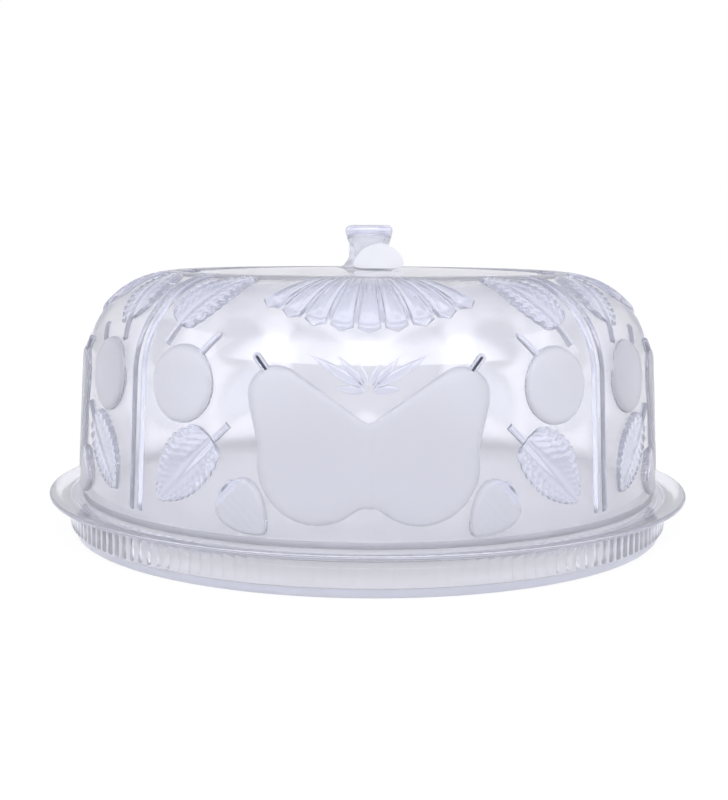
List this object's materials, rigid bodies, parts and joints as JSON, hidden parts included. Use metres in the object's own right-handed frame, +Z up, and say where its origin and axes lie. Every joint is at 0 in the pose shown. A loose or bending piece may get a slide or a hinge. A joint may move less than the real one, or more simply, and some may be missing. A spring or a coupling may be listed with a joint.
{
  "type": "cake stand with dome",
  "caption": "Round footed cake plate in clear moulded plastic, with a domed cover that has raised frosted fruit, leaves and ribs, and a hollow knob on its crown.",
  "frame": {"origin": "centre of the foot ring, on the surface that the plate stands on", "axes": "+Z up along the axis of the plate, dome and knob; -Y towards the viewer of the picture"},
  "size_m": [0.312, 0.312, 0.1471],
  "materials": {
    "clear_plate": "clear, high gloss",
    "clear_dome": "clear, high gloss, with frosted fruit",
    "clear_knob": "clear, high gloss"
  },
  "bodies": {
    "root": {"base_plate": "clear_plate", "dome_cover": "clear_dome", "knob": "clear_knob"}
  },
  "joints": []
}
